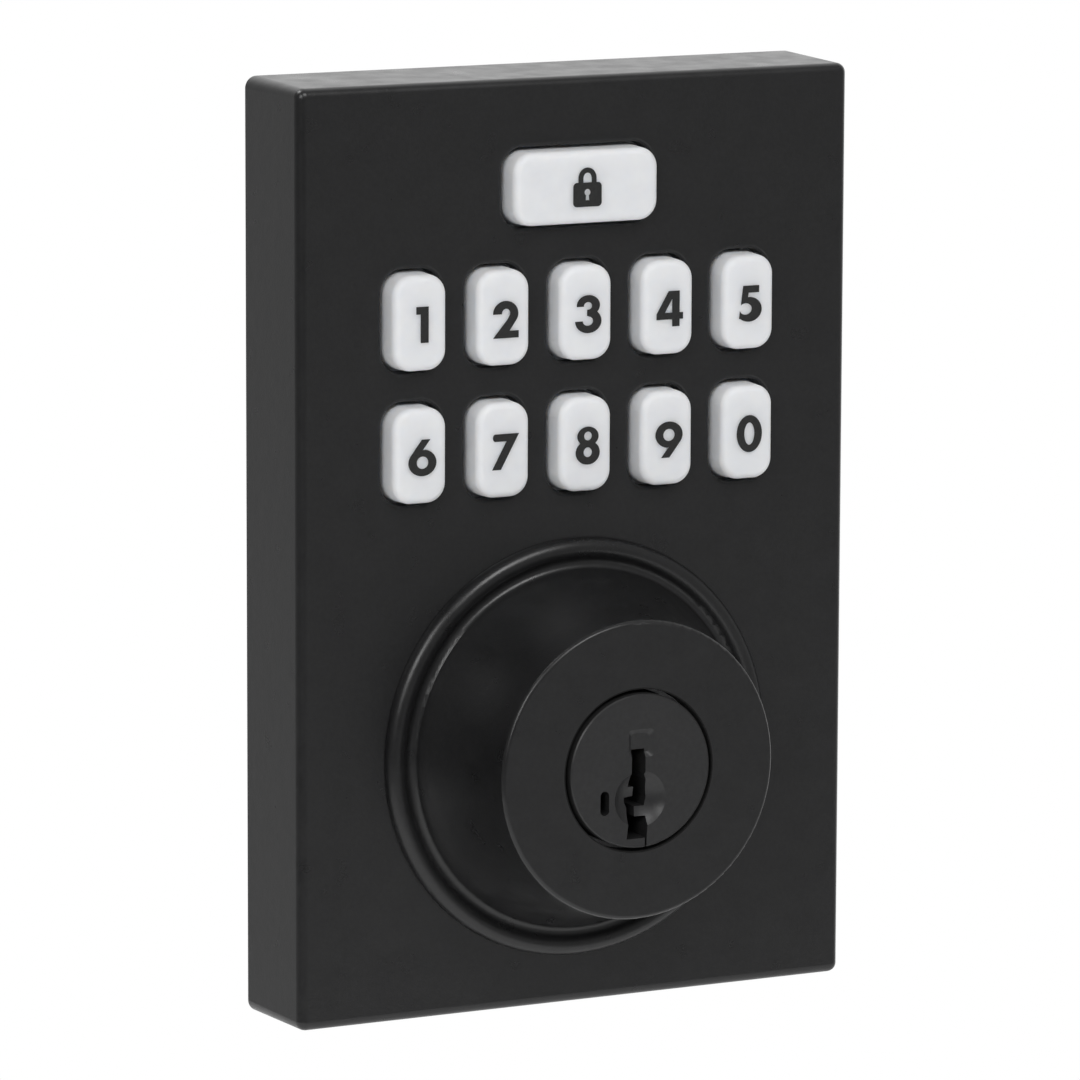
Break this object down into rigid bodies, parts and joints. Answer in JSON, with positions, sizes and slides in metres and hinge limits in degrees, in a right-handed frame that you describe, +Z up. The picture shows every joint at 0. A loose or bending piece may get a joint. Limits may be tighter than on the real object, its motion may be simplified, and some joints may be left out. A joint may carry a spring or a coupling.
{
  "type": "keypad deadbolt outside unit",
  "caption": "Matte black keypad deadbolt, outside unit: flat rectangular housing, two rows of digit keys, a wide lock button and a flared collar round a re-keyable key cylinder.",
  "frame": {"origin": "on the cylinder's axis, in the plane where the housing meets the door, midway between the two tapped posts", "axes": "+Z up, +X to the right as seen from outside, +Y into the door along the cylinder's axis"},
  "size_m": [0.0666, 0.0797, 0.1016],
  "materials": {
    "housing_black": "matte black powder coat on die-cast zinc",
    "plug_black": "matte black plated face, plain brass inside the lock",
    "key_plastic": "translucent white moulded plastic, softly satin",
    "seal_rubber": "matte black rubber",
    "silicone": "milky translucent silicone",
    "frame_plastic": "fine-grained black moulding",
    "board": "green solder mask",
    "snap_steel": "polished spring steel",
    "led_lens": "clear resin",
    "chip_black": "moulded epoxy",
    "capacitor": "fired tan ceramic",
    "socket_plastic": "cream nylon",
    "plate_steel": "zinc-plated sheet steel",
    "post_steel": "turned and plated steel",
    "screw_steel": "plated steel",
    "spring_steel": "bright spring wire",
    "shell_zinc": "die-cast zinc, as cast",
    "brass": "turned brass",
    "tail_steel": "zinc-plated bar"
  },
  "bodies": {
    "lock_case": {"housing": "housing_black", "rear_seal": "seal_rubber", "key_frame": "frame_plastic", "dome_sheet": "silicone", "contact_domes": "snap_steel", "backlight_leds": "led_lens", "keypad_board": "board", "board_screws": "screw_steel", "controller_chips": "chip_black", "board_capacitors": "capacitor", "sounder": "chip_black", "cable_socket": "socket_plastic", "back_plate": "plate_steel", "plate_screws": "screw_steel", "mounting_posts": "post_steel", "cable_grommet": "seal_rubber", "cylinder_bracket": "plate_steel", "bracket_screws": "screw_steel", "cylinder_shell": "shell_zinc", "face_seal": "seal_rubber"},
    "digit_key_1": {"key_1": "key_plastic"},
    "digit_key_2": {"key_2": "key_plastic"},
    "digit_key_3": {"key_3": "key_plastic"},
    "digit_key_4": {"key_4": "key_plastic"},
    "digit_key_5": {"key_5": "key_plastic"},
    "digit_key_6": {"key_6": "key_plastic"},
    "digit_key_7": {"key_7": "key_plastic"},
    "digit_key_8": {"key_8": "key_plastic"},
    "digit_key_9": {"key_9": "key_plastic"},
    "digit_key_0": {"key_0": "key_plastic"},
    "lock_key": {"lock_button": "key_plastic"},
    "turning_plug": {"plug": "plug_black", "spring_cover": "brass", "drill_guards": "screw_steel", "plug_clip": "spring_steel", "tail_cover": "plate_steel", "cover_screws": "screw_steel", "sidebar": "plate_steel", "sidebar_springs": "spring_steel", "carriage_spring": "spring_steel", "pin_spring_1": "spring_steel", "pin_spring_2": "spring_steel", "pin_spring_3": "spring_steel", "pin_spring_4": "spring_steel", "pin_spring_5": "spring_steel"},
    "rack_carriage": {"carriage": "shell_zinc", "rack_1": "brass", "rack_2": "brass", "rack_3": "brass", "rack_4": "brass", "rack_5": "brass"},
    "pin_1": {"key_pin_1": "brass"},
    "pin_2": {"key_pin_2": "brass"},
    "pin_3": {"key_pin_3": "brass"},
    "pin_4": {"key_pin_4": "brass"},
    "pin_5": {"key_pin_5": "brass"},
    "tail_bar": {"tailpiece": "tail_steel"}
  },
  "joints": [
    {"name": "press_1", "type": "slide", "parent": "lock_case", "child": "digit_key_1", "axis": [0, 1, 0], "range_m": [0, 0.0009], "stiffness_N_per_m": 900, "springref_m": -0.0006, "deforming": ["dome_sheet"]},
    {"name": "press_2", "type": "slide", "parent": "lock_case", "child": "digit_key_2", "axis": [0, 1, 0], "range_m": [0, 0.0009], "stiffness_N_per_m": 900, "springref_m": -0.0006, "deforming": ["dome_sheet"]},
    {"name": "press_3", "type": "slide", "parent": "lock_case", "child": "digit_key_3", "axis": [0, 1, 0], "range_m": [0, 0.0009], "stiffness_N_per_m": 900, "springref_m": -0.0006, "deforming": ["dome_sheet"]},
    {"name": "press_4", "type": "slide", "parent": "lock_case", "child": "digit_key_4", "axis": [0, 1, 0], "range_m": [0, 0.0009], "stiffness_N_per_m": 900, "springref_m": -0.0006, "deforming": ["dome_sheet"]},
    {"name": "press_5", "type": "slide", "parent": "lock_case", "child": "digit_key_5", "axis": [0, 1, 0], "range_m": [0, 0.0009], "stiffness_N_per_m": 900, "springref_m": -0.0006, "deforming": ["dome_sheet"]},
    {"name": "press_6", "type": "slide", "parent": "lock_case", "child": "digit_key_6", "axis": [0, 1, 0], "range_m": [0, 0.0009], "stiffness_N_per_m": 900, "springref_m": -0.0006, "deforming": ["dome_sheet"]},
    {"name": "press_7", "type": "slide", "parent": "lock_case", "child": "digit_key_7", "axis": [0, 1, 0], "range_m": [0, 0.0009], "stiffness_N_per_m": 900, "springref_m": -0.0006, "deforming": ["dome_sheet"]},
    {"name": "press_8", "type": "slide", "parent": "lock_case", "child": "digit_key_8", "axis": [0, 1, 0], "range_m": [0, 0.0009], "stiffness_N_per_m": 900, "springref_m": -0.0006, "deforming": ["dome_sheet"]},
    {"name": "press_9", "type": "slide", "parent": "lock_case", "child": "digit_key_9", "axis": [0, 1, 0], "range_m": [0, 0.0009], "stiffness_N_per_m": 900, "springref_m": -0.0006, "deforming": ["dome_sheet"]},
    {"name": "press_0", "type": "slide", "parent": "lock_case", "child": "digit_key_0", "axis": [0, 1, 0], "range_m": [0, 0.0009], "stiffness_N_per_m": 900, "springref_m": -0.0006, "deforming": ["dome_sheet"]},
    {"name": "press_lock", "type": "slide", "parent": "lock_case", "child": "lock_key", "axis": [0, 1, 0], "range_m": [0, 0.0009], "stiffness_N_per_m": 900, "springref_m": -0.0006, "deforming": ["dome_sheet"]},
    {"name": "plug_turn", "type": "hinge", "parent": "lock_case", "child": "turning_plug", "pos_m": [0, 0, 0], "axis": [0, -1, 0], "range_deg": [-90, 90]},
    {"name": "tail_turn", "type": "hinge", "parent": "turning_plug", "child": "tail_bar", "pos_m": [0, 0, 0], "axis": [0, -1, 0], "range_deg": [0, 90]},
    {"name": "carriage_slide", "type": "slide", "parent": "turning_plug", "child": "rack_carriage", "axis": [0, -1, 0], "range_m": [0, 0.0019]},
    {"name": "pin_lift_1", "type": "slide", "parent": "turning_plug", "child": "pin_1", "axis": [0, 0, 1], "range_m": [0, 0.0018], "stiffness_N_per_m": 120, "springref_m": -0.002, "deforming": ["pin_spring_1"]},
    {"name": "pin_lift_2", "type": "slide", "parent": "turning_plug", "child": "pin_2", "axis": [0, 0, 1], "range_m": [0, 0.0018], "stiffness_N_per_m": 120, "springref_m": -0.002, "deforming": ["pin_spring_2"]},
    {"name": "pin_lift_3", "type": "slide", "parent": "turning_plug", "child": "pin_3", "axis": [0, 0, 1], "range_m": [0, 0.0018], "stiffness_N_per_m": 120, "springref_m": -0.002, "deforming": ["pin_spring_3"]},
    {"name": "pin_lift_4", "type": "slide", "parent": "turning_plug", "child": "pin_4", "axis": [0, 0, 1], "range_m": [0, 0.0018], "stiffness_N_per_m": 120, "springref_m": -0.002, "deforming": ["pin_spring_4"]},
    {"name": "pin_lift_5", "type": "slide", "parent": "turning_plug", "child": "pin_5", "axis": [0, 0, 1], "range_m": [0, 0.0018], "stiffness_N_per_m": 120, "springref_m": -0.002, "deforming": ["pin_spring_5"]}
  ]
}
